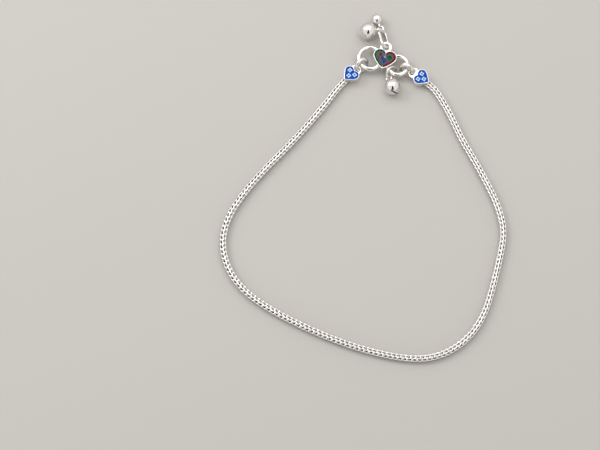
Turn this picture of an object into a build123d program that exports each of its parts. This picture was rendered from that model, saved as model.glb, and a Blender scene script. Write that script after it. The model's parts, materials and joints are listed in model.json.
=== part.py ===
from build123d import *
from math import acos, atan2, cos, degrees, hypot, pi, radians, sin, sqrt, tan
import os

# Payal anklet lying flat: a woven chain loop, closed by an S-hook that carries an enamelled heart.
# Millimetres. The surface is z = 0, the clasp is at +Y, and the origin is under the middle of the whole.

os.makedirs("parts", exist_ok=True)

# ---- driving dimensions ----

gap = 0.04                      # clearance between an enamel fill and its silver pocket
edge_round = 0.12               # on the upper edge of each silver heart
tip_round = 0.25                # of each silver heart's tip, seen from above
floor_gap = 0.01                # under the wires that come down to the surface

chain_diameter = 2.2
chain_height = chain_diameter / 2

end_heart = {"width": 5.15, "length": 4.8, "lobe": 1.5, "side": 14.0}
end_heart_height = 2.9
end_rim = 0.18
end_pocket_depth = 0.45
socket_gap = 0.06               # between the chain and the notch that takes its end
socket_depth = 2.35
chain_insert = 2.15             # how far the chain reaches past the heart's tip
end_eye_height = 2.2            # middle of the eye's thickness
end_eye_thickness = 0.6
end_eye_radius = 1.75
end_eye_bar = 0.42
end_eye_round = 0.15
end_eye_hole = (2.2, 1.45)
end_eye_neck = 3.2              # width of the plate between the heart and the eye
end_eye_root = 0.6              # how far that plate runs into the heart
end_eye_play = 0.13             # between the eye's bar and the ring that it hangs in

mark_petal = 0.31
mark_spread = 0.41
mark_hole = 0.24
mark_depth = 0.2
mark_places = [(0.0, 1.93), (-1.03, 3.4), (1.03, 3.4)]

hook_wire = 1.4
hook_height = 2.2               # middle of the S-hook's wire above the surface
left_lobe = {"centre": (2.68, 39.72), "radius": 3.5}
right_lobe = {"centre": (11.13, 37.36), "radius": 3.03}
hook_left_end = -49             # degrees round each lobe where the wire stops
hook_right_end = 140
hook_ball = 1.55

heart = {"width": 7.25, "length": 6.25, "lobe": 2.05, "side": 8.6}
heart_tip = (6.06, 35.76)
heart_axis = 74.3               # degrees from +X, from the tip to the cleft
heart_bottom = 2.4
heart_top = 3.95
heart_rim = 0.2
channel_width = 0.72
channel_divider = 0.12          # silver across the channel at the cleft and the tip
heart_pocket_depth = 0.4

# Corners of each petal of the centre heart, from the heart's tip, before they are rounded.
petals = {
    "maroon_petal": [
        (-1.55, 5.06), (-1.10, 4.78), (-0.98, 4.00), (-1.42, 3.72), (-1.80, 4.12), (-1.86, 4.72),
    ],
    "small_maroon_petal": [(-2.06, 3.55), (-1.84, 3.72), (-1.52, 3.00), (-1.64, 2.78), (-2.02, 3.14)],
    "blue_petal": [
        (-1.34, 3.50), (-0.93, 3.84), (-0.58, 3.98), (-0.11, 3.50), (0.53, 3.44), (0.68, 2.91),
        (0.57, 2.03), (0.15, 1.52), (-0.24, 1.76), (-0.38, 2.45), (-0.98, 3.07),
    ],
    "small_blue_petal": [(-1.24, 2.64), (-0.96, 2.80), (-0.56, 2.36), (-0.52, 2.08), (-0.82, 2.12)],
    "lavender_petal": [(-0.60, 4.20), (-0.32, 4.16), (0.40, 3.86), (0.42, 3.62), (-0.04, 3.68)],
    "lilac_petal": [(-0.64, 4.68), (-0.22, 4.49), (0.20, 4.46), (0.36, 4.04), (-0.28, 4.30), (-0.64, 4.42)],
    "green_petal": [
        (0.56, 4.50), (0.76, 4.64), (1.47, 4.84), (2.12, 4.54), (2.28, 3.74), (1.66, 2.72),
        (1.24, 2.78), (0.78, 3.46), (0.60, 3.98),
    ],
    "rose_petal": [(0.80, 2.64), (1.26, 2.48), (1.18, 2.08), (0.72, 1.70), (0.70, 1.96)],
}
petal_round = 0.05

heart_eye = {"place": (-0.45, 7.22), "outer": 1.88, "hole": 1.0}
heart_eye_thickness = 0.7
heart_eye_middle = 3.2
heart_eye_round = 0.25

end_ring = {"radius": 1.95, "wire": 1.15}
end_ring_tilt = {"left": 61, "right": 66}
end_ring_offset = -0.02         # from the ring's centre out to the hook wire's middle

upper_link = {"radius": 1.8, "straight": 3.0, "wire": 0.85}
upper_link_start = (7.55, 42.9, 3.2)
upper_link_heading = 100.9
upper_link_slope = 12
upper_link_tilt = 52

lower_ring = {"radius": 1.94, "wire": 0.7}
lower_ring_centre = (9.15, 34.96, 1.92)
lower_ring_heading = 143.6      # the way in which the ring climbs
lower_ring_tilt = 53

bell_wall = 0.35
loop_hole = 0.63                # radius inside a bell's loop
loop_wire = 0.64
stem_radius = 0.44              # of the solder cone that joins the loop to the bell
stem_taper = 8
slit = {"length": 1.0, "width": 0.16, "end_hole": 0.15, "reach": 0.5}   # in radii of the bell

# Each bell's radius, where it lies, and how far its loop's middle stands off it.
bells = {
    "large_upper_bell": {"radius": 2.65, "place": (2.12, 48.52), "reach": 0.82},
    "small_upper_bell": {"radius": 1.88, "place": (4.97, 52.6), "reach": 1.67},
    "lower_bell": {"radius": 2.52, "place": (9.38, 30.3), "reach": 0.8},
}

# The chain's route from the left end heart, round the ankle's loop, to the right one.
left_tip = (-5.4, 32.54)
left_axis = 42.3
right_tip = (20.6, 31.6)
right_axis = 145.0
tip_run = 1.55                  # from a heart's tip to the chain's first bend
loop_points = [
    (-11.0, 25.3),
    (-16.6, 18.4),
    (-23.0, 11.1),
    (-30.2, 3.6),
    (-36.4, -3.9),
    (-40.6, -10.9),
    (-42.2, -18.0),
    (-40.9, -25.2),
    (-36.9, -31.9),
    (-30.3, -37.3),
    (-21.6, -42.2),
    (-11.6, -46.8),
    (-1.2, -50.6),
    (9.2, -53.1),
    (17.8, -53.7),
    (25.0, -51.5),
    (31.2, -46.8),
    (35.6, -40.0),
    (38.3, -31.6),
    (40.5, -23.4),
    (42.2, -15.2),
    (40.6, -7.2),
    (37.3, 0.3),
    (33.7, 7.6),
    (30.1, 14.2),
    (27.2, 21.3),
    (24.3, 27.0),
]


def polar(angle, length=1.0):
    return Vector(cos(radians(angle)) * length, sin(radians(angle)) * length, 0)


def start_plane(path):
    """The plane across a path at its start, for the section that is swept along it."""
    wire = path.wire()
    return Plane(origin=wire @ 0, z_dir=wire % 0)


def heart_plane(tip, axis, height):
    """A level plane whose origin is a heart's tip and whose Y runs up to its cleft."""
    return Plane(origin=(tip[0], tip[1], height), x_dir=polar(axis - 90), z_dir=(0, 0, 1))


def cleft_of(size):
    """How far a heart's cleft lies from its tip."""
    lobe_x = size["width"] / 2 - size["lobe"]
    return size["length"] - size["lobe"] + sqrt(size["lobe"] ** 2 - lobe_x**2)


def heart_outline(size):
    """Sides that bulge a little from the tip to two round lobes, drawn in the line being built."""
    lobe = size["lobe"]
    side = size["side"]
    lobe_centre = Vector(size["width"] / 2 - lobe, size["length"] - lobe)
    reach = lobe_centre.length
    turn = acos((reach**2 + side**2 - (side - lobe) ** 2) / (2 * reach * side))
    side_centre = polar(degrees(atan2(lobe_centre.Y, lobe_centre.X) + turn), side)
    touch = lobe_centre + (lobe_centre - side_centre).normalized() * lobe
    bulge = side_centre + (touch * 0.5 - side_centre).normalized() * side
    crown = lobe_centre + polar(60, lobe)
    cleft = Vector(0, cleft_of(size))
    ThreePointArc((0, 0), bulge, touch)
    ThreePointArc(touch, crown, cleft)
    ThreePointArc(cleft, (-crown.X, crown.Y), (-touch.X, touch.Y))
    ThreePointArc((-touch.X, touch.Y), (-bulge.X, bulge.Y), (0, 0))


def heart_face(plane, size, inset=0.0):
    """A heart on a plane: whole with a rounded tip, or drawn in by an inset all round."""
    with BuildSketch(plane) as face:
        with BuildLine():
            heart_outline(size)
        make_face()
        if inset:
            offset(amount=-inset, mode=Mode.REPLACE)
        else:
            fillet(face.vertices().sort_by(Axis.Y)[0], tip_round)
    return face.sketch


def channel_face(plane, side, shrink=0.0):
    """Half of the coloured channel inside the rim: side is -1 for the left half, 1 for the right."""
    block = heart["length"]
    with BuildSketch(plane) as face:
        with BuildLine():
            heart_outline(heart)
        make_face()
        offset(amount=-(heart_rim + shrink), mode=Mode.REPLACE)
        with BuildSketch(mode=Mode.SUBTRACT):
            with BuildLine():
                heart_outline(heart)
            make_face()
            offset(amount=shrink - heart_rim - channel_width, mode=Mode.REPLACE)
        with Locations((-side * (block - channel_divider / 2 - shrink), block / 2)):
            Rectangle(2 * block, 2 * block, mode=Mode.SUBTRACT)
    return face.sketch


def petal_face(plane, corners, shrink=0.0):
    with BuildSketch(plane) as face:
        with BuildLine():
            Polyline(*corners, close=True)
        make_face()
        offset(amount=-(petal_round + shrink), mode=Mode.REPLACE)
        offset(amount=petal_round, mode=Mode.REPLACE)
    return face.sketch


def level_edges(builder):
    """The edges round the lower and upper faces of a flat piece."""
    levels = builder.edges().group_by(Axis.Z)
    return levels[0] + levels[-1]


def finish(part, name):
    part.label = name
    export_step(part, f"parts/{name}.step")


# ---- chain ----

left_direction = polar(left_axis)
right_direction = polar(right_axis)
left_start = Vector(*left_tip) + left_direction * chain_insert
left_bend = Vector(*left_tip) - left_direction * tip_run
right_bend = Vector(*right_tip) - right_direction * tip_run
right_stop = Vector(*right_tip) + right_direction * chain_insert

route = [(left_start.X, left_start.Y), (left_bend.X, left_bend.Y)]
route += loop_points
route += [(right_bend.X, right_bend.Y), (right_stop.X, right_stop.Y)]

bend_radii = []
for before, point, after in zip(route, route[1:], route[2:]):
    run_in = Vector(*point) - Vector(*before)
    run_out = Vector(*after) - Vector(*point)
    half_turn = radians(run_in.get_angle(run_out) / 2)
    bend_radii.append(0.45 * min(run_in.length, run_out.length) / tan(half_turn))
print("chain bend radii", [round(radius, 1) for radius in bend_radii])

with BuildPart() as chain:
    with BuildLine(Plane.XY.offset(chain_height)) as chain_path:
        FilletPolyline(*route, radius=bend_radii)
    with BuildSketch(start_plane(chain_path)):
        Circle(chain_diameter / 2)
    sweep()

chain_length = chain_path.wire().length
print("chain length", round(chain_length, 1))
tube_volume = pi * (chain_diameter / 2) ** 2 * chain_length
print("chain volume over section x length", round(chain.part.volume / tube_volume, 4))
finish(chain.part, "chain")


# ---- end hearts: silver cup, blue enamel, three pale flower marks ----

def end_eye_reach(cleft_to_hook):
    """From the cleft to the eye's bar, which lies inside the ring opposite the hook wire."""
    ring_hole = end_ring["radius"] - end_ring["wire"] / 2
    return cleft_to_hook - end_ring_offset - (ring_hole - end_eye_bar / 2 - end_eye_play)


ends = {}
for side, tip, axis, lobe in (
    ("left", left_tip, left_axis, left_lobe),
    ("right", right_tip, right_axis, right_lobe),
):
    cleft_point = Vector(*tip) + polar(axis, cleft_of(end_heart))
    to_lobe = Vector(*lobe["centre"]) - cleft_point
    ends[side] = {
        "tip": tip,
        "axis": axis,
        "radial": to_lobe.normalized(),
        "lobe_centre": Vector(*lobe["centre"]),
        "lobe_radius": lobe["radius"],
        "reach": end_eye_reach(to_lobe.length - lobe["radius"]),
    }

for side, end in ends.items():
    cleft = cleft_of(end_heart)
    bar_edge = cleft + end["reach"] + end_eye_bar / 2
    neck_end = bar_edge - end_eye_radius
    eye_plane = heart_plane(end["tip"], end["axis"], end_eye_height - end_eye_thickness / 2)
    floor_plane = heart_plane(end["tip"], end["axis"], 0)
    pocket_plane = heart_plane(end["tip"], end["axis"], end_heart_height - end_pocket_depth)
    mouth = Plane(origin=Vector(*end["tip"]) - polar(end["axis"]), x_dir=polar(end["axis"] + 90),
                  z_dir=polar(end["axis"]))

    with BuildPart() as end_eye:
        with BuildSketch(eye_plane):
            with Locations((0, neck_end)):
                Circle(end_eye_radius)
            with Locations((0, (neck_end + cleft - end_eye_root) / 2)):
                Rectangle(end_eye_neck, neck_end - cleft + end_eye_root)
            with Locations((0, bar_edge - end_eye_bar - end_eye_hole[1] / 2)):
                SlotOverall(*end_eye_hole, mode=Mode.SUBTRACT)
        extrude(amount=end_eye_thickness)
        fillet(level_edges(end_eye), end_eye_round)

    with BuildPart() as cup:
        extrude(heart_face(floor_plane, end_heart), amount=end_heart_height)
        fillet(cup.faces().sort_by(Axis.Z)[-1].edges(), edge_round)
        add(end_eye.part)
        with BuildSketch(mouth):
            with Locations((0, chain_height)):
                Circle(chain_height + socket_gap)
            with Locations((0, chain_height / 2)):
                Rectangle(chain_diameter + 2 * socket_gap, chain_height + 2 * socket_gap)
        extrude(amount=1 + socket_depth, mode=Mode.SUBTRACT)
        extrude(heart_face(pocket_plane, end_heart, end_rim), amount=end_pocket_depth, mode=Mode.SUBTRACT)
    finish(cup.part, f"{side}_end_heart")

    enamel_plane = pocket_plane.offset(gap)
    mark_plane = heart_plane(end["tip"], end["axis"], end_heart_height - mark_depth)
    with BuildPart() as enamel:
        extrude(heart_face(enamel_plane, end_heart, end_rim + gap), amount=end_pocket_depth - gap)
        with BuildSketch(mark_plane):
            with Locations(*mark_places):
                with PolarLocations(mark_spread, 4, start_angle=45):
                    Circle(mark_petal + gap)
            with Locations(*mark_places):
                Circle(mark_hole - gap, mode=Mode.SUBTRACT)
        extrude(amount=mark_depth, mode=Mode.SUBTRACT)
    finish(enamel.part, f"{side}_end_enamel")

    with BuildPart() as marks:
        with BuildSketch(mark_plane.offset(gap)):
            with Locations(*mark_places):
                with PolarLocations(mark_spread, 4, start_angle=45):
                    Circle(mark_petal)
            with Locations(*mark_places):
                Circle(mark_hole, mode=Mode.SUBTRACT)
        extrude(amount=mark_depth - gap)
    finish(marks.part, f"{side}_end_marks")


# ---- end rings: each holds the hook's wire and the bar of an end heart's eye ----

for side, end in ends.items():
    tilt = radians(end_ring_tilt[side])
    radius = end_ring["radius"]
    centre = end["lobe_centre"] - end["radial"] * (end["lobe_radius"] + end_ring_offset)
    height = radius * sin(tilt) + end_ring["wire"] / 2 + floor_gap
    raised_turn = 90 if side == "left" else -90
    raised = end["radial"].rotate(Axis.Z, raised_turn)
    normal = Vector(0, 0, cos(tilt)) - raised * sin(tilt)
    with BuildPart(Plane(origin=(centre.X, centre.Y, height), z_dir=normal)) as ring:
        Torus(radius, end_ring["wire"] / 2)
    finish(ring.part, f"{side}_end_ring")


# ---- clasp: S-hook, centre heart and its cast eye, soldered into one ----

lobe_line = Vector(*right_lobe["centre"]) - Vector(*left_lobe["centre"])
lean = degrees(atan2(lobe_line.Y, lobe_line.X))
crossing = lean + degrees(acos((left_lobe["radius"] + right_lobe["radius"]) / lobe_line.length))
leave = Vector(*left_lobe["centre"]) + polar(crossing, left_lobe["radius"])
arrive = Vector(*right_lobe["centre"]) - polar(crossing, right_lobe["radius"])
hook_plane = Plane.XY.offset(hook_height)
under_plane = heart_plane(heart_tip, heart_axis, heart_bottom)
top_plane = heart_plane(heart_tip, heart_axis, heart_top)
pocket_floor = top_plane.offset(-heart_pocket_depth)

with BuildPart() as cast_eye:
    with BuildSketch(heart_plane(heart_tip, heart_axis, heart_eye_middle - heart_eye_thickness / 2)):
        with Locations(heart_eye["place"]):
            Circle(heart_eye["outer"])
            Circle(heart_eye["hole"], mode=Mode.SUBTRACT)
    extrude(amount=heart_eye_thickness)
    fillet(level_edges(cast_eye), heart_eye_round)

with BuildPart() as clasp:
    with BuildLine(hook_plane) as hook_path:
        CenterArc(left_lobe["centre"], left_lobe["radius"], hook_left_end, crossing - hook_left_end - 360)
        Line((leave.X, leave.Y), (arrive.X, arrive.Y))
        CenterArc(right_lobe["centre"], right_lobe["radius"], crossing + 180, hook_right_end - crossing + 180)
    with BuildSketch(start_plane(hook_path)):
        Circle(hook_wire / 2)
    sweep()
    with Locations(hook_path.wire() @ 0):
        Sphere(hook_ball / 2)
    with Locations(hook_path.wire() @ 1):
        Sphere(hook_wire / 2)
    extrude(heart_face(under_plane, heart), amount=heart_top - heart_bottom)
    fillet(clasp.faces().filter_by(GeomType.PLANE).sort_by(Axis.Z)[-1].edges(), edge_round)
    add(cast_eye.part)
    for half in (-1, 1):
        extrude(channel_face(pocket_floor, half), amount=heart_pocket_depth, mode=Mode.SUBTRACT)
    for corners in petals.values():
        extrude(petal_face(pocket_floor, corners), amount=heart_pocket_depth, mode=Mode.SUBTRACT)
finish(clasp.part, "clasp")

for half, name in ((-1, "green_channel"), (1, "red_channel")):
    with BuildPart() as channel:
        extrude(channel_face(pocket_floor.offset(gap), half, gap), amount=heart_pocket_depth - gap)
    finish(channel.part, name)

for name, corners in petals.items():
    with BuildPart() as petal:
        extrude(petal_face(pocket_floor.offset(gap), corners, gap), amount=heart_pocket_depth - gap)
    finish(petal.part, name)


# ---- upper link: through the cast eye, sloping down to the two upper bells ----

heading = polar(upper_link_heading)
slope = radians(upper_link_slope)
tilt = radians(upper_link_tilt)
along = heading * cos(slope) - Vector(0, 0, sin(slope))
upright = heading * sin(slope) + Vector(0, 0, cos(slope))
across = heading.rotate(Axis.Z, 90) * cos(tilt) + upright * sin(tilt)
half_length = upper_link["radius"] + upper_link["straight"] / 2
link_centre = Vector(*upper_link_start) + along * half_length
link_plane = Plane(origin=link_centre, x_dir=along, z_dir=along.cross(across))

with BuildPart() as link:
    with BuildLine(link_plane) as link_path:
        bend = upper_link["radius"]
        half_straight = upper_link["straight"] / 2
        Line((-half_straight, bend), (half_straight, bend))
        CenterArc((half_straight, 0), bend, 90, -180)
        Line((half_straight, -bend), (-half_straight, -bend))
        CenterArc((-half_straight, 0), bend, 270, -180)
    with BuildSketch(start_plane(link_path)):
        Circle(upper_link["wire"] / 2)
    sweep()
finish(link.part, "upper_bell_link")


# ---- lower ring: round the hook's wire below the heart's tip ----

heading = polar(lower_ring_heading)
tilt = radians(lower_ring_tilt)
climb = heading * cos(tilt) + Vector(0, 0, sin(tilt))
level = heading.rotate(Axis.Z, 90)
ring_centre = Vector(*lower_ring_centre)

with BuildPart(Plane(origin=ring_centre, x_dir=climb, z_dir=climb.cross(level))) as lower_wire:
    Torus(lower_ring["radius"], lower_ring["wire"] / 2)
finish(lower_wire.part, "lower_bell_ring")


# ---- bells: hollow slit balls, each with a loop of its own that holds a ring ----

def round_link(angle):
    """A point on the link's far bend and the wire's direction there."""
    turn = radians(angle)
    point = link_centre + along * (upper_link["straight"] / 2 + upper_link["radius"] * sin(turn))
    point += across * upper_link["radius"] * cos(turn)
    return point, along * cos(turn) - across * sin(turn)


def round_lower_ring(angle):
    turn = radians(angle)
    point = ring_centre + (climb * cos(turn) + level * sin(turn)) * lower_ring["radius"]
    return point, level * cos(turn) - climb * sin(turn)


held_wires = {
    "large_upper_bell": round_link(15),
    "small_upper_bell": round_link(80),
    "lower_bell": round_lower_ring(111),
}

for name, bell in bells.items():
    radius = bell["radius"]
    loop_place = radius + bell["reach"]
    wire_point, wire_way = held_wires[name]
    centre = Vector(*bell["place"], radius)
    to_loop = (wire_point - centre).normalized()
    hole_axis = (wire_way - to_loop * wire_way.dot(to_loop)).normalized()
    bell_plane = Plane(origin=centre, x_dir=hole_axis, z_dir=to_loop)
    print(name, "wire lies", round((wire_point - centre).length, 2), "loop", round(loop_place, 2))
    with BuildPart(bell_plane) as ball:
        Sphere(radius)
        with Locations(Location((0, 0, loop_place), (0, 90, 0))):
            Torus(loop_hole + loop_wire / 2, loop_wire / 2)
        with BuildSketch(bell_plane.offset(radius - bell_wall)):
            Circle(stem_radius)
        extrude(amount=loop_place - loop_hole - loop_wire / 4 - radius + bell_wall, taper=stem_taper)
        Sphere(radius - bell_wall, mode=Mode.SUBTRACT)
        with BuildSketch(bell_plane.offset(-radius * slit["reach"])):
            SlotCenterToCenter(radius * slit["length"], radius * slit["width"])
            with GridLocations(radius * slit["length"], 0, 2, 1):
                Circle(radius * slit["end_hole"])
        extrude(amount=-radius, mode=Mode.SUBTRACT)
    finish(ball.part, name)
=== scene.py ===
import json
import math

import bmesh
import bpy
import numpy as np
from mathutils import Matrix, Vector
from mathutils.geometry import delaunay_2d_cdt

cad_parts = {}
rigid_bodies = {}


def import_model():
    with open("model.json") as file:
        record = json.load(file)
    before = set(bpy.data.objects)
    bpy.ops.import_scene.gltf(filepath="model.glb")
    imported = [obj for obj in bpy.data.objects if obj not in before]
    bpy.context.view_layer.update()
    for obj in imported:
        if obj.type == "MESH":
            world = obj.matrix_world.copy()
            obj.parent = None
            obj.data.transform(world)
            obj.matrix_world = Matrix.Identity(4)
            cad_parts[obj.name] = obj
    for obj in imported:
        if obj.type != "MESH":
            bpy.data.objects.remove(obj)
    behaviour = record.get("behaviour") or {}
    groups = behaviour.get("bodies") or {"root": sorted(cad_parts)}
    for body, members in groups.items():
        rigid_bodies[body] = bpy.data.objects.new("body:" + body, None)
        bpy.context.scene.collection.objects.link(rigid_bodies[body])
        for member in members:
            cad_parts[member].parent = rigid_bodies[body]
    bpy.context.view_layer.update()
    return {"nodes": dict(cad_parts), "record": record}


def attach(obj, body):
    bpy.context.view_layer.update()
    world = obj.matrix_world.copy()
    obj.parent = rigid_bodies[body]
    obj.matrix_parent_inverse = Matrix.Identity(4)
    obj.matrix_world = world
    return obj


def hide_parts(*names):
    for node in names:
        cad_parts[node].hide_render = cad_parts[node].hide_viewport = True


for startObject in list(bpy.data.objects):
    bpy.data.objects.remove(startObject)
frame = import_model()
print("frame loaded:", len(frame["nodes"]), "nodes")

mm = 0.001     # the frame is in metres

# How near two places in a CAD mesh count as one: in millimetres, and in digits of a millimetre.
near = {"merged": 0.0001, "level": 0.001, "netted": 0.00001, "wallDigits": 3, "pointDigits": 4}


def fromHex(code):
    # sRGB hex to the linear colour that a socket takes, by the sRGB standard's own curve
    channels = [int(code[i:i + 2], 16) / 255 for i in (1, 3, 5)]
    linear = [c / 12.92 if c <= 0.04045 else ((c + 0.055) / 1.055) ** 2.4 for c in channels]
    return (*linear, 1.0)


def addNode(tree, kind, inputs=None, **settings):
    # one node with its settings, and each input either linked or given a value
    node = tree.nodes.new(kind)
    for name, value in settings.items():
        setattr(node, name, value)
    for key, value in (inputs or {}).items():
        if isinstance(value, bpy.types.NodeSocket):
            tree.links.new(value, node.inputs[key])
        else:
            node.inputs[key].default_value = value
    return node


def newMaterial(name):
    material = bpy.data.materials.new(name)
    material.use_nodes = True
    material.node_tree.nodes.clear()
    return material, material.node_tree


def addObject(name, data):
    thing = bpy.data.objects.new(name, data)
    bpy.context.scene.collection.objects.link(thing)
    return thing


# Sterling silver, cast or drawn and tumble polished: bright, with soft waves and a few fine scratches.
# Between the petals of enamel the thin silver walls are rougher, and darker by painted shade that dims
# their reflections.
silverLook = {
    "bright": "#F6F4F0", "worn": "#DDD9D3", "roughLow": 0.07, "roughHigh": 0.2,
    "waveSize": 1.6, "waveDepth": 0.012,              # millimetres
    "scratchSize": 0.12, "scratchDepth": 0.0012,      # millimetres
    "scratchStretch": (1.0, 0.15, 1.0),               # scratches run long one way
    "scratchTurn": (0.3, 0.2, 0.9),                   # radians, aslant to the piece
    "scratchDetail": 3.0, "polishFrom": 0.35, "polishTo": 0.75,
    # the dark silver between the petals is painted shade; the roughness there is the metal's own
    "dullAndShade": "#564848", "roughDull": 0.4,
}


def silverMaterial():
    look = silverLook
    material, tree = newMaterial("polishedSilver")
    place = addNode(tree, "ShaderNodeTexCoord").outputs["Object"]
    wave = addNode(tree, "ShaderNodeTexNoise", {"Vector": place, "Scale": 1 / (look["waveSize"] * mm)})
    scratchPlace = addNode(tree, "ShaderNodeMapping", {"Vector": place, "Scale": look["scratchStretch"],
                                                       "Rotation": look["scratchTurn"]})
    scratch = addNode(tree, "ShaderNodeTexNoise", {"Vector": scratchPlace.outputs["Vector"],
                                                   "Scale": 1 / (look["scratchSize"] * mm),
                                                   "Detail": look["scratchDetail"]})
    tone = addNode(tree, "ShaderNodeMix", {0: wave.outputs["Fac"], 6: fromHex(look["bright"]),
                                           7: fromHex(look["worn"])}, data_type="RGBA")
    # where this mask is set, the silver's colour is painted shade and its surface rougher
    dullAndShade = addNode(tree, "ShaderNodeAttribute", attribute_name="dullAndShade")
    shown = addNode(tree, "ShaderNodeMix", {0: dullAndShade.outputs["Fac"], 6: tone.outputs[2],
                                            7: fromHex(look["dullAndShade"])}, data_type="RGBA")
    polish = addNode(tree, "ShaderNodeMapRange", {"Value": scratch.outputs["Fac"],
                                                  "From Min": look["polishFrom"],
                                                  "From Max": look["polishTo"],
                                                  "To Min": look["roughLow"], "To Max": look["roughHigh"]})
    rough = addNode(tree, "ShaderNodeMix", {0: dullAndShade.outputs["Fac"], 2: polish.outputs["Result"],
                                            3: look["roughDull"]}, data_type="FLOAT")
    waveBump = addNode(tree, "ShaderNodeBump", {"Height": wave.outputs["Fac"],
                                                "Distance": look["waveDepth"] * mm})
    scratchBump = addNode(tree, "ShaderNodeBump", {"Height": scratch.outputs["Fac"],
                                                   "Distance": look["scratchDepth"] * mm,
                                                   "Normal": waveBump.outputs["Normal"]})
    shader = addNode(tree, "ShaderNodeBsdfPrincipled", {"Base Color": shown.outputs[2], "Metallic": 1.0,
                                                        "Roughness": rough.outputs[0],
                                                        "Normal": scratchBump.outputs["Normal"]})
    addNode(tree, "ShaderNodeOutputMaterial", {"Surface": shader.outputs["BSDF"]})
    return material


# Drawn silver wire, woven and tumbled: bright outside, and darker inside the chain, partly tarnish and
# partly painted shade in its holes.
weaveLook = {
    "bright": "#F8F6F2", "worn": "#EEEAE4", "deep": "#4A4642", "roughLow": 0.1, "roughHigh": 0.24,
    "wearSize": 0.5,     # millimetres
    "wearDetail": 3.0, "wearFrom": 0.3, "wearTo": 0.7,
}


def weaveMaterial():
    look = weaveLook
    material, tree = newMaterial("wovenSilverWire")
    place = addNode(tree, "ShaderNodeTexCoord").outputs["Object"]
    wear = addNode(tree, "ShaderNodeTexNoise", {"Vector": place, "Scale": 1 / (look["wearSize"] * mm),
                                                "Detail": look["wearDetail"]})
    face = addNode(tree, "ShaderNodeMix", {0: wear.outputs["Fac"], 6: fromHex(look["bright"]),
                                           7: fromHex(look["worn"])}, data_type="RGBA")
    # the chain's inside is painted dark: tarnish and painted shade together
    depth = addNode(tree, "ShaderNodeAttribute", attribute_name="depth")
    tone = addNode(tree, "ShaderNodeMix", {0: depth.outputs["Fac"], 6: face.outputs[2],
                                           7: fromHex(look["deep"])}, data_type="RGBA")
    rough = addNode(tree, "ShaderNodeMapRange", {"Value": wear.outputs["Fac"], "From Min": look["wearFrom"],
                                                 "From Max": look["wearTo"], "To Min": look["roughLow"],
                                                 "To Max": look["roughHigh"]})
    shader = addNode(tree, "ShaderNodeBsdfPrincipled", {"Base Color": tone.outputs[2], "Metallic": 1.0,
                                                        "Roughness": rough.outputs["Result"]})
    addNode(tree, "ShaderNodeOutputMaterial", {"Surface": shader.outputs["BSDF"]})
    return material


# Meenakari: powdered glass fired into a silver pocket, then polished. The glass is streaky, and where it
# thins at the pocket's edge the silver under it lights it up. A streak's size is in millimetres.
enamelLook = {
    "cobaltEnamel": {"slot": "blue_enamel", "deep": "#003AA0", "light": "#0060D4", "thin": "#0C68D0",
                     "streak": 0.9},
    "paleBlueEnamel": {"slot": "pale_blue_enamel", "deep": "#CDEEFA", "light": "#FFFFFF", "thin": "#6CB2EC",
                       "streak": 0.5},
    "greenEnamel": {"slot": "green_enamel", "deep": "#003828", "light": "#0A6A4A", "thin": "#3C9C7A",
                    "streak": 1.0},
    "redEnamel": {"slot": "red_enamel", "deep": "#44000E", "light": "#720C1E", "thin": "#984450",
                  "streak": 1.0},
    "maroonEnamel": {"slot": "maroon_enamel", "deep": "#4A0A1C", "light": "#8A1E3A", "thin": "#8C4050",
                     "streak": 0.6},
    "blueEnamel": {"slot": "blue_petal_enamel", "deep": "#062C54", "light": "#14549A", "thin": "#2C6AA4",
                   "streak": 0.8},
    "lavenderEnamel": {"slot": "lavender_enamel", "deep": "#84A4EC", "light": "#C4D8FF", "thin": "#A8C4FA",
                       "streak": 0.4},
    "lilacEnamel": {"slot": "lilac_enamel", "deep": "#4A508E", "light": "#7C82B4", "thin": "#9A9CC0",
                    "streak": 0.5},
    "roseEnamel": {"slot": "rose_enamel", "deep": "#6C1C48", "light": "#8C3A78", "thin": "#A05A88",
                   "streak": 0.4},
}

# What every enamel shares.
glass = {
    "streakTwist": 0.6, "lightFrom": 0.4, "lightTo": 0.7,     # where the streaks turn from deep to light
    "thinFrom": 0.45, "thinShare": 0.7,     # from how far out the silver shows, and how much at the edge
    "rippleDepth": 0.008,                   # millimetres
    "roughness": 0.07, "ior": 1.5,
    "shine": 0.12,                          # low for glass, so that the lamps don't veil the colours
}


def enamelMaterial(name, look):
    material, tree = newMaterial(name)
    place = addNode(tree, "ShaderNodeTexCoord").outputs["Object"]
    streak = addNode(tree, "ShaderNodeTexNoise", {"Vector": place, "Scale": 1 / (look["streak"] * mm),
                                                  "Distortion": glass["streakTwist"]})
    spread = addNode(tree, "ShaderNodeMapRange", {"Value": streak.outputs["Fac"],
                                                  "From Min": glass["lightFrom"],
                                                  "From Max": glass["lightTo"]})
    tone = addNode(tree, "ShaderNodeMix", {0: spread.outputs["Result"], 6: fromHex(look["deep"]),
                                           7: fromHex(look["light"])}, data_type="RGBA")
    thin = addNode(tree, "ShaderNodeAttribute", attribute_name="thin")
    thinShare = addNode(tree, "ShaderNodeMapRange", {"Value": thin.outputs["Fac"],
                                                     "From Min": glass["thinFrom"],
                                                     "To Max": glass["thinShare"]})
    lit = addNode(tree, "ShaderNodeMix", {0: thinShare.outputs["Result"], 6: tone.outputs[2],
                                          7: fromHex(look["thin"])}, data_type="RGBA")
    ripple = addNode(tree, "ShaderNodeBump", {"Height": streak.outputs["Fac"],
                                              "Distance": glass["rippleDepth"] * mm})
    shader = addNode(tree, "ShaderNodeBsdfPrincipled", {"Base Color": lit.outputs[2],
                                                        "Roughness": glass["roughness"],
                                                        "IOR": glass["ior"],
                                                        "Specular IOR Level": glass["shine"],
                                                        "Normal": ripple.outputs["Normal"]})
    addNode(tree, "ShaderNodeOutputMaterial", {"Surface": shader.outputs["BSDF"]})
    return material


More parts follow.
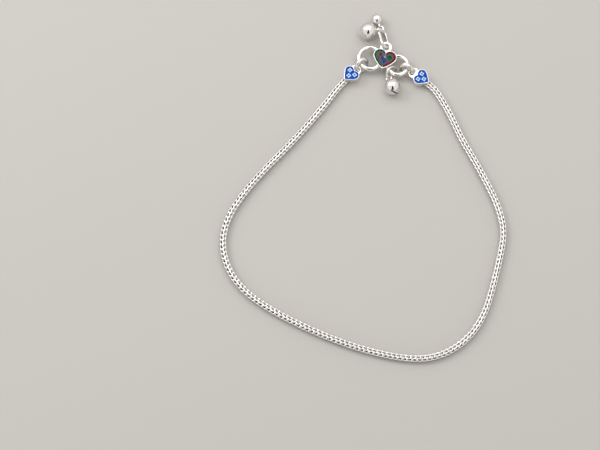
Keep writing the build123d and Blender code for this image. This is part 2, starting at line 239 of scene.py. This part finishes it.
silver = silverMaterial()
woven = weaveMaterial()
enamels = {look["slot"]: enamelMaterial(name, look) for name, look in enamelLook.items()}
print("materials made:", 2 + len(enamels))

for part in frame["record"]["subparts"]:
    node = frame["nodes"][part["node"]]
    node.material_slots[0].material = enamels.get(part["material_slot"], silver)


# Fired enamel: the CAD fill's walls, with a top that draws down to the silver. In millimetres but for the
# last value.
fill = {
    "grid": 0.13,         # between the points of the top
    "drop": 0.05,         # from the middle of the top to its rim
    "shoulder": 0.28,     # how far in from the rim the top falls and the glass thins
    "grow": 0.03,         # how far each wall moves out
    "sharpest": 1.5,      # 4 is a straight wall and 0 a fold; a corner below this moves out less
}
enamelParts = [part for part in frame["record"]["subparts"] if part["material_slot"] in enamels]


def rimDistance(points, starts, ends):
    # from each point to the nearest of the rim's lines
    along = ends - starts
    offset = points[:, None] - starts
    share = np.clip((offset * along).sum(2) / (along ** 2).sum(1), 0, 1)
    return np.linalg.norm(offset - share[..., None] * along, axis=2).min(1)


def crossings(points, starts, ends):
    # how many of the rim's lines a line from each point to the right meets
    x, y = points[:, :1], points[:, 1:]
    spans = (starts[:, 1] > y) != (ends[:, 1] > y)
    rise = np.where(ends[:, 1] == starts[:, 1], 1.0, ends[:, 1] - starts[:, 1])
    meets = starts[:, 0] + (y - starts[:, 1]) * (ends[:, 0] - starts[:, 0]) / rise
    return ((x < meets) & spans).sum(1)


def isInside(points, starts, ends):
    # a line out of a closed rim meets it an odd number of times
    return crossings(points, starts, ends) % 2 == 1


def gridPoints(starts, ends):
    # staggered rows of points over a fill's top, clear of its rim
    step = fill["grid"]
    low, high = starts.min(0), starts.max(0)
    rows = np.arange(low[1], high[1], step * math.sqrt(3) / 2)
    points = np.array([(x + step / 2 * (row % 2), y) for row, y in enumerate(rows)
                       for x in np.arange(low[0], high[0], step)])
    points = points[isInside(points, starts, ends)]
    return points[rimDistance(points, starts, ends) > step / 2]


def wallPlace(vert):
    # the same for the points at the top and the foot of a wall
    return round(vert.co.x, near["wallDigits"]), round(vert.co.y, near["wallDigits"])


def growOut(shape, rimEdges, cap):
    # glass fills its pocket to the walls, so each wall of the fill moves out by the same small step
    outward = {}
    for edge in rimEdges:
        loop = next(loop for loop in edge.link_loops if loop.face in cap)
        run = (loop.link_loop_next.vert.co - loop.vert.co).normalized()
        for vert in edge.verts:
            place = wallPlace(vert)
            outward[place] = outward.get(place, Vector()) + Vector((run.y, -run.x, 0))
    for vert in shape.verts:
        step = outward.get(wallPlace(vert))
        if step:
            vert.co += step * fill["grow"] * 2 / max(step.length_squared, fill["sharpest"])


def topOf(shape):
    # the flat top's faces, and the edges round them
    top = max(vert.co.z for vert in shape.verts)
    cap = {face for face in shape.faces if all(top - vert.co.z < near["level"] for vert in face.verts)}
    return top, cap, [edge for edge in shape.edges if len(cap.intersection(edge.link_faces)) == 1]


def openShape(node):
    # a CAD node's mesh in millimetres, its doubled points merged
    shape = bmesh.new()
    shape.from_mesh(node.data)
    shape.transform(node.matrix_world)
    bmesh.ops.scale(shape, verts=shape.verts, vec=[1 / mm] * 3)
    bmesh.ops.remove_doubles(shape, verts=shape.verts, dist=near["merged"])
    return shape


def rimLines(rimEdges):
    # where the lines of a rim start and end, seen from above
    return (np.array([edge.verts[end].co.xy for edge in rimEdges]) for end in (0, 1))


def netOver(rim, rimEdges, inner, starts, ends):
    # triangles over the rim's and the inner points, as the numbers of these points
    order = {vert: number for number, vert in enumerate(rim)}
    flat = [vert.co.xy for vert in rim] + [Vector(point) for point in inner]
    lines = [(order[edge.verts[0]], order[edge.verts[1]]) for edge in rimEdges]
    net = delaunay_2d_cdt(flat, lines, [], 0, near["netted"])
    corners, triangles, sources = net[0], net[2], net[3]
    middles = np.array([np.mean([corners[corner] for corner in face], axis=0) for face in triangles])
    return [[sources[corner][0] for corner in face]
            for face, inside in zip(triangles, isInside(middles, starts, ends)) if inside]


def drawDown(shape):
    # a new top, level in its middle and falling to its rim, with how thin the glass is at each point
    top, cap, rimEdges = topOf(shape)
    rim = list(dict.fromkeys(vert for edge in rimEdges for vert in edge.verts))
    starts, ends = rimLines(rimEdges)
    inner = gridPoints(starts, ends)
    triangles = netOver(rim, rimEdges, inner, starts, ends)
    thinness = 1 - np.clip(rimDistance(inner, starts, ends) / fill["shoulder"], 0, 1)
    bmesh.ops.delete(shape, geom=list(cap), context="FACES_ONLY")
    thin = dict.fromkeys(rim, 1.0)
    for vert in rim:
        vert.co.z = top - fill["drop"]
    for (x, y), share in zip(inner, thinness):
        thin[shape.verts.new((x, y, top - fill["drop"] * share ** 2))] = share
    points = list(thin)
    for corners in triangles:
        shape.faces.new([points[corner] for corner in corners]).smooth = True
    for edge in rimEdges:
        edge.smooth = False
    bmesh.ops.recalc_face_normals(shape, faces=shape.faces)
    return thin


def meshOf(shape, name, thin):
    # the shape as a mesh in metres, with its creases and its thinness
    bmesh.ops.scale(shape, verts=shape.verts, vec=[mm] * 3)
    shape.verts.index_update()
    mesh = bpy.data.meshes.new(name)
    mesh.from_pydata([vert.co[:] for vert in shape.verts], [],
                     [[vert.index for vert in face.verts] for face in shape.faces])
    mesh.polygons.foreach_set("use_smooth", [face.smooth for face in shape.faces])
    layer = mesh.attributes.new("thin", "FLOAT", "POINT")
    layer.data.foreach_set("value", [thin.get(vert, 0.0) for vert in shape.verts])
    sharp = mesh.attributes.new("sharp_edge", "BOOLEAN", "EDGE")
    crease = {frozenset(vert.index for vert in edge.verts) for edge in shape.edges if not edge.smooth}
    sharp.data.foreach_set("value", [frozenset(edge.vertices) in crease for edge in mesh.edges])
    shape.free()
    return mesh


def makeFill(part):
    shape = openShape(frame["nodes"][part["node"]])
    if "marks" not in part["node"]:     # the marks' pockets are in glass that has already moved out
        _, cap, rimEdges = topOf(shape)
        growOut(shape, rimEdges, cap)
    mesh = meshOf(shape, part["node"] + "Fill", drawDown(shape))
    mesh.materials.append(enamels[part["material_slot"]])
    piece = addObject(part["node"] + "Fill", mesh)
    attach(piece, "root")
    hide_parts(part["node"])
    return piece


fills = [makeFill(part) for part in enamelParts]
print("enamel fired:", sum(len(piece.data.polygons) for piece in fills), "faces")


# The clasp's CAD form, with the walls between the petals rougher and darkened by painted shade.
clasp = {
    "pocketDepth": 0.45,     # millimetres, from the top down past the pockets' floors
    "dullAndShadeReach": 0.5,        # millimetres, as far from a petal as its walls are rougher and painted darker in any case
    "channelWalls": 2,       # that lie between the petals and the heart's rim on each side
}
quarterTurn = np.array([[0, -1], [1, 0]])


def isEnclosed(points, starts, ends):
    # on all four sides a line from the point crosses both walls of the heart's channel
    counts = []
    for _ in range(4):
        counts.append(crossings(points, starts, ends))
        points, starts, ends = points @ quarterTurn, starts @ quarterTurn, ends @ quarterTurn
    return np.min(counts, axis=0) >= clasp["channelWalls"]


def mergedCopy(node, name):
    # the node's mesh with its doubled points merged and its normals kept
    data = node.data
    numbers = {}
    order = []
    for vert in data.vertices:
        place = tuple(round(length / mm, near["pointDigits"]) for length in node.matrix_world @ vert.co)
        order.append(numbers.setdefault(place, len(numbers)))
    faces = [[order[corner] for corner in face.vertices] for face in data.polygons]
    kept = [number for number, corners in enumerate(faces) if len(set(corners)) == len(corners)]
    normals = [data.corner_normals[loop].vector[:] for number in kept
               for loop in data.polygons[number].loop_indices]
    mesh = bpy.data.meshes.new(name)
    mesh.from_pydata([[length * mm for length in place] for place in numbers], [],
                     [faces[number] for number in kept])
    mesh.polygons.foreach_set("use_smooth", [True] * len(mesh.polygons))
    mesh.normals_split_custom_set(normals)
    return mesh


def linesOf(names):
    # the height of the fills' tops and the lines round them
    found = []
    for name in names:
        shape = openShape(frame["nodes"][name])
        top, _, rimEdges = topOf(shape)
        found.append(list(rimLines(rimEdges)))
        shape.free()
    return top, *(np.concatenate(lines) for lines in zip(*found))


def makeClasp():
    node = frame["nodes"]["clasp"]
    mesh = mergedCopy(node, "claspSilverwork")
    names = [part["node"] for part in enamelParts]
    _, *walls = linesOf([name for name in names if "channel" in name])
    top, *petals = linesOf([name for name in names if "petal" in name])
    places = np.array([vert.co[:] for vert in mesh.vertices]) / mm
    above = places[:, :2]
    # the silver between the petals gets painted shade and a rougher finish
    within = isEnclosed(above, *walls) | (rimDistance(above, *petals) < clasp["dullAndShadeReach"])
    dullAndShade = np.where(within & (places[:, 2] > top - clasp["pocketDepth"]), 1.0, 0.0)
    layer = mesh.attributes.new("dullAndShade", "FLOAT", "POINT")
    layer.data.foreach_set("value", dullAndShade)
    mesh.materials.append(silver)
    piece = addObject("claspSilverwork", mesh)
    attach(piece, "root")
    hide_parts("clasp")
    print("clasp dressed:", len(mesh.polygons), "faces,", int(sum(dullAndShade)), "dull points")


makeClasp()


# The chain's loop-in-loop weave along its route, in metres.
chain = {
    "route": [
        (-0.00381, 0.03399), (-0.00655, 0.03150),
        (-0.0110, 0.0253), (-0.0166, 0.0184), (-0.0230, 0.0111), (-0.0302, 0.0036), (-0.0364, -0.0039),
        (-0.0406, -0.0109), (-0.0422, -0.0180), (-0.0409, -0.0252), (-0.0369, -0.0319), (-0.0303, -0.0373),
        (-0.0216, -0.0422), (-0.0116, -0.0468), (-0.0012, -0.0506), (0.0092, -0.0531), (0.0178, -0.0537),
        (0.0250, -0.0515), (0.0312, -0.0468), (0.0356, -0.0400), (0.0383, -0.0316), (0.0405, -0.0234),
        (0.0422, -0.0152), (0.0406, -0.0072), (0.0373, 0.0003), (0.0337, 0.0076), (0.0301, 0.0142),
        (0.0272, 0.0213), (0.0243, 0.0270),
        (0.02187, 0.03071), (0.01884, 0.03283),
    ],
    "routeOrder": 3,
    "routeSteps": 12,            # between two points of the route
    "height": 0.0011,
    "pitch": 1.42 * mm,
    "ways": 3,                   # links lie in this many directions round the chain's middle
    "wire": 0.38 * mm,
    "wireSides": 6,
    "outerRadius": 0.895 * mm,   # from the chain's middle to the middle of the outermost wire
    "pairPlay": 0.005 * mm,      # between a link's two strands and its middle
    "eyeWidth": 1.35,            # from a link's middle to the side of its eye, in wires
    "eyePlay": 0.01 * mm,
    "tipReach": 0.59,            # of the outer radius, where the tip turns back
    "tipRise": 1.05,             # of the tip over the next link, in wires
    "depthStart": 0.72 * mm,     # inside this radius the wire turns darker, tarnish with painted shade
    "depthEnd": 0.35 * mm,       # and inside this one it is at its darkest
    "roll": 0.26,                # radians that the weave turns to and fro
    "rollSpeed": 0.0116,         # radians of the swing's phase from one link to the next
    "rollStart": -1.5,           # the phase at the first link
}


def linkPoints(size):
    # a link's half is bent up on one face of the chain: out, up, round the tip and back
    wire, outer, pitch = size["wire"], size["outerRadius"], size["pitch"]
    pairSide = wire / 2 + size["pairPlay"]
    eyeSide = wire * size["eyeWidth"] - size["eyePlay"]
    tipTop = pitch + wire * size["tipRise"]
    bends = [     # the share of the way out to the chain's face, then how far across and up
        (0.64, pairSide, 0.0),
        (0.94, pairSide, 0.10 * pitch),
        (1.0, pairSide * 1.1, 0.28 * pitch),
        (1.0, (pairSide + eyeSide) / 2, 0.55 * pitch),
        (0.97, eyeSide * 0.95, 0.82 * pitch),
        (0.88, eyeSide * 0.97, 1.03 * pitch),
        (0.69, eyeSide * 0.6, (pitch + tipTop) / 2 + 0.04 * pitch),
    ]
    side = [(share * math.sqrt(outer ** 2 - across ** 2), across, up) for share, across, up in bends]
    tip = [(outer * size["tipReach"], 0.0, tipTop)]
    back = [(out, -across, up) for out, across, up in reversed(side)]
    half = side + tip + back
    return half + [(-out, -across, up) for out, across, up in half]


def makeLinkCurve(size):
    curve = bpy.data.curves.new("linkLine", "CURVE")
    curve.dimensions = "3D"
    points = linkPoints(size)
    line = curve.splines.new("POLY")
    line.points.add(len(points) - 1)
    for point, (out, across, up) in zip(line.points, points):
        point.co = (out, across, up, 1.0)
    line.use_cyclic_u = True
    return addObject("linkLine", curve)


def makeRouteCurve(size):
    curve = bpy.data.curves.new("chainRoute", "CURVE")
    curve.dimensions = "3D"
    curve.resolution_u = size["routeSteps"]
    line = curve.splines.new("NURBS")
    line.points.add(len(size["route"]) - 1)
    for point, (x, y) in zip(line.points, size["route"]):
        point.co = (x, y, size["height"], 1.0)
    line.order_u = size["routeOrder"]
    line.use_endpoint_u = True
    return addObject("chainRoute", curve)


def weaveTree(material):
    tree = bpy.data.node_groups.new("weaveLinks", "GeometryNodeTree")
    sockets = tree.interface
    sockets.new_socket("Route", in_out="INPUT", socket_type="NodeSocketGeometry")
    sockets.new_socket("Link", in_out="INPUT", socket_type="NodeSocketObject")
    for name in ("Pitch", "Ways", "Wire Radius", "Roll", "Roll Speed", "Roll Start", "Depth Start",
                 "Depth End"):
        sockets.new_socket(name, in_out="INPUT", socket_type="NodeSocketFloat")
    sockets.new_socket("Wire Sides", in_out="INPUT", socket_type="NodeSocketInt")
    sockets.new_socket("Weave", in_out="OUTPUT", socket_type="NodeSocketGeometry")
    given = tree.nodes.new("NodeGroupInput").outputs

    # the link's wire, with how deep each point lies inside the chain, which sets its tarnish and painted
    # shade
    line = addNode(tree, "GeometryNodeObjectInfo", {"Object": given["Link"]})
    section = addNode(tree, "GeometryNodeCurvePrimitiveCircle", {"Resolution": given["Wire Sides"],
                                                                 "Radius": given["Wire Radius"]})
    wire = addNode(tree, "GeometryNodeCurveToMesh", {"Curve": line.outputs["Geometry"],
                                                     "Profile Curve": section.outputs["Curve"]})
    place = addNode(tree, "GeometryNodeInputPosition").outputs["Position"]
    flat = addNode(tree, "ShaderNodeVectorMath", {0: place, 1: (1.0, 1.0, 0.0)}, operation="MULTIPLY")
    reach = addNode(tree, "ShaderNodeVectorMath", {0: flat.outputs["Vector"]}, operation="LENGTH")
    depth = addNode(tree, "ShaderNodeMapRange", {"Value": reach.outputs["Value"],
                                                 "From Min": given["Depth Start"],
                                                 "From Max": given["Depth End"]})
    link = addNode(tree, "GeometryNodeStoreNamedAttribute", {"Geometry": wire.outputs["Mesh"],
                                                             "Name": "depth",
                                                             "Value": depth.outputs["Result"]},
                   data_type="FLOAT", domain="POINT")

    # links stand on the route a share of the pitch apart, each turned on to the next direction
    step = addNode(tree, "ShaderNodeMath", {0: given["Pitch"], 1: given["Ways"]}, operation="DIVIDE")
    level = addNode(tree, "GeometryNodeSetCurveNormal", {"Curve": given["Route"]}, mode="Z_UP")
    stops = addNode(tree, "GeometryNodeCurveToPoints", {"Curve": level.outputs["Curve"],
                                                        "Length": step.outputs["Value"]}, mode="LENGTH")
    index = addNode(tree, "GeometryNodeInputIndex").outputs["Index"]
    share = addNode(tree, "ShaderNodeMath", {0: index, 1: given["Ways"]}, operation="DIVIDE")
    facing = addNode(tree, "ShaderNodeMath", {0: share.outputs["Value"], 1: math.pi}, operation="MULTIPLY")
    slow = addNode(tree, "ShaderNodeMath", {0: index, 1: given["Roll Speed"], 2: given["Roll Start"]},
                   operation="MULTIPLY_ADD")
    sway = addNode(tree, "ShaderNodeMath", {0: slow.outputs["Value"]}, operation="SINE")
    roll = addNode(tree, "ShaderNodeMath", {0: sway.outputs["Value"], 1: given["Roll"],
                                            2: facing.outputs["Value"]}, operation="MULTIPLY_ADD")
    spin = addNode(tree, "FunctionNodeAxisAngleToRotation", {"Axis": (0.0, 0.0, 1.0),
                                                             "Angle": roll.outputs["Value"]})
    turn = addNode(tree, "FunctionNodeRotateRotation", {"Rotation": stops.outputs["Rotation"],
                                                        "Rotate By": spin.outputs["Rotation"]},
                   rotation_space="LOCAL")
    placed = addNode(tree, "GeometryNodeInstanceOnPoints", {"Points": stops.outputs["Points"],
                                                            "Instance": link.outputs["Geometry"],
                                                            "Rotation": turn.outputs["Rotation"]})
    whole = addNode(tree, "GeometryNodeRealizeInstances", {"Geometry": placed.outputs["Instances"]})
    smooth = addNode(tree, "GeometryNodeSetShadeSmooth", {"Geometry": whole.outputs["Geometry"]})
    dressed = addNode(tree, "GeometryNodeSetMaterial", {"Geometry": smooth.outputs["Geometry"],
                                                        "Material": material})
    addNode(tree, "NodeGroupOutput", {"Weave": dressed.outputs["Geometry"]})
    return tree


def setInputs(modifier, tree, values):
    # a modifier's inputs are set by the identifiers of the tree's sockets
    for item in tree.interface.items_tree:
        if item.in_out == "INPUT" and item.name in values:
            modifier[item.identifier] = values[item.name]


def bake(source, name):
    # the evaluated tree as a plain mesh of its own, without the curve's empty material slot
    evaluated = source.evaluated_get(bpy.context.evaluated_depsgraph_get())
    mesh = bpy.data.meshes.new_from_object(evaluated)
    mesh.name = name
    mesh.materials.pop(index=0)
    return addObject(name, mesh)


def makeChain():
    link = makeLinkCurve(chain)
    route = makeRouteCurve(chain)
    tree = weaveTree(woven)
    modifier = route.modifiers.new("weave", "NODES")
    modifier.node_group = tree
    setInputs(modifier, tree, {"Link": link, "Pitch": chain["pitch"], "Ways": float(chain["ways"]),
                               "Wire Radius": chain["wire"] / 2, "Wire Sides": chain["wireSides"],
                               "Roll": chain["roll"], "Roll Speed": chain["rollSpeed"],
                               "Roll Start": chain["rollStart"],
                               "Depth Start": chain["depthStart"], "Depth End": chain["depthEnd"]})
    weave = bake(route, "wovenChain")
    for helper in (route, link):
        bpy.data.objects.remove(helper)
    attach(weave, "root")
    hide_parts("chain")
    return weave


weave = makeChain()
print("chain woven:", len(weave.data.polygons), "faces")


# The plain floor that the anklet lies on.
floor = {"colour": "#CECAC4", "foot": 12.0, "head": 12.0, "height": 12.0}

# A dark card behind the camera, narrow at its top, which polished silver mirrors as a dark spot.
card = {"colour": "#1C1B1A", "foot": 0.42, "head": 0.1, "height": 0.72, "distance": 0.6, "elevation": 62}

# The matt paper of both.
paper = {"roughness": 0.85, "shine": 0.2}

# The dome of light that the silver mirrors: bright from overhead to low down, and dimmer at the horizon.
dome = {"high": "#FFFFFF", "low": "#B4B4B2", "strength": 0.7, "mirrored": 0.92, "dimUpTo": 0.0,
        "brightFrom": 0.25}

lamps = {
    "overheadSoftbox": {"place": (0.05, 0.3, 0.8), "aim": (0, 0, 0), "size": 0.8, "brightness": 1.2},
    "keySoftbox": {"place": (-0.5, 0.3, 0.5), "aim": (0, 0, 0), "size": 0.3, "brightness": 4.5},
}

view = {"aim": (-0.0189, -0.0128, 0.0), "elevation": 75, "distance": 0.45, "lens": 90, "sensor": 36,
        "nearest": 0.01}     # nothing nearer shows


def makeSheet(name, form):
    # a flat sheet of paper, as wide at its foot and its head as given
    material, tree = newMaterial(name)
    shader = addNode(tree, "ShaderNodeBsdfPrincipled", {"Base Color": fromHex(form["colour"]),
                                                        "Roughness": paper["roughness"],
                                                        "Specular IOR Level": paper["shine"]})
    addNode(tree, "ShaderNodeOutputMaterial", {"Surface": shader.outputs["BSDF"]})
    mesh = bpy.data.meshes.new(name)
    foot, head, up = form["foot"] / 2, form["head"] / 2, form["height"] / 2
    mesh.from_pydata([(-foot, -up, 0), (foot, -up, 0), (head, up, 0), (-head, up, 0)], [], [(0, 1, 2, 3)])
    mesh.materials.append(material)
    sheet = addObject(name, mesh)
    return sheet


def standOff(holder, elevation, distance, aim=(0, 0, 0)):
    # turned towards the aim, at a distance from it and an elevation above it
    tilt = math.radians(elevation)
    holder.location = Vector(aim) + Vector((0, -math.cos(tilt), math.sin(tilt))) * distance
    holder.rotation_euler = (math.pi / 2 - tilt, 0, 0)


def makeStage():
    makeSheet("floor", floor)
    standOff(makeSheet("darkCard", card), card["elevation"], card["distance"])


def makeWorld():
    world = bpy.data.worlds.new("studio")
    world.use_nodes = True
    tree = world.node_tree
    tree.nodes.clear()
    way = addNode(tree, "ShaderNodeTexCoord").outputs["Generated"]
    height = addNode(tree, "ShaderNodeSeparateXYZ", {"Vector": way}).outputs["Z"]
    rise = addNode(tree, "ShaderNodeMapRange", {"Value": height, "From Min": dome["dimUpTo"],
                                                "From Max": dome["brightFrom"]},
                   interpolation_type="SMOOTHSTEP")
    tone = addNode(tree, "ShaderNodeMix", {0: rise.outputs["Result"], 6: fromHex(dome["low"]),
                                           7: fromHex(dome["high"])}, data_type="RGBA")
    light = addNode(tree, "ShaderNodeBackground", {"Color": tone.outputs[2], "Strength": dome["strength"]})
    shown = addNode(tree, "ShaderNodeBackground", {"Color": tone.outputs[2], "Strength": dome["mirrored"]})
    # the camera, silver and glass see the dome at its own strength, apart from the light that it gives
    path = addNode(tree, "ShaderNodeLightPath").outputs
    bent = addNode(tree, "ShaderNodeMath", {0: path["Is Glossy Ray"], 1: path["Is Transmission Ray"]},
                   operation="MAXIMUM")
    direct = addNode(tree, "ShaderNodeMath", {0: path["Is Camera Ray"], 1: bent.outputs["Value"]},
                     operation="MAXIMUM")
    mix = addNode(tree, "ShaderNodeMixShader", {0: direct.outputs["Value"], 1: light.outputs["Background"],
                                                2: shown.outputs["Background"]})
    addNode(tree, "ShaderNodeOutputWorld", {"Surface": mix.outputs["Shader"]})
    bpy.context.scene.world = world


def makeLamps():
    for name, lamp in lamps.items():
        light = bpy.data.lights.new(name, "AREA")
        light.shape = "SQUARE"
        light.size = lamp["size"]
        light.energy = lamp["brightness"] * math.pi * lamp["size"] ** 2     # equally bright at any size
        holder = addObject(name, light)
        holder.location = lamp["place"]
        aim = Vector(lamp["aim"]) - Vector(lamp["place"])
        holder.rotation_euler = aim.to_track_quat("-Z", "Y").to_euler()


def makeCamera():
    camera = bpy.data.cameras.new("camera")
    camera.lens = view["lens"]
    camera.sensor_width = view["sensor"]
    camera.clip_start = view["nearest"]
    holder = addObject("camera", camera)
    standOff(holder, view["elevation"], view["distance"], view["aim"])
    bpy.context.scene.camera = holder


makeStage()
makeWorld()
makeLamps()
makeCamera()
bpy.context.scene.view_settings.view_transform = "Standard"
print("stage, lamps and camera set")
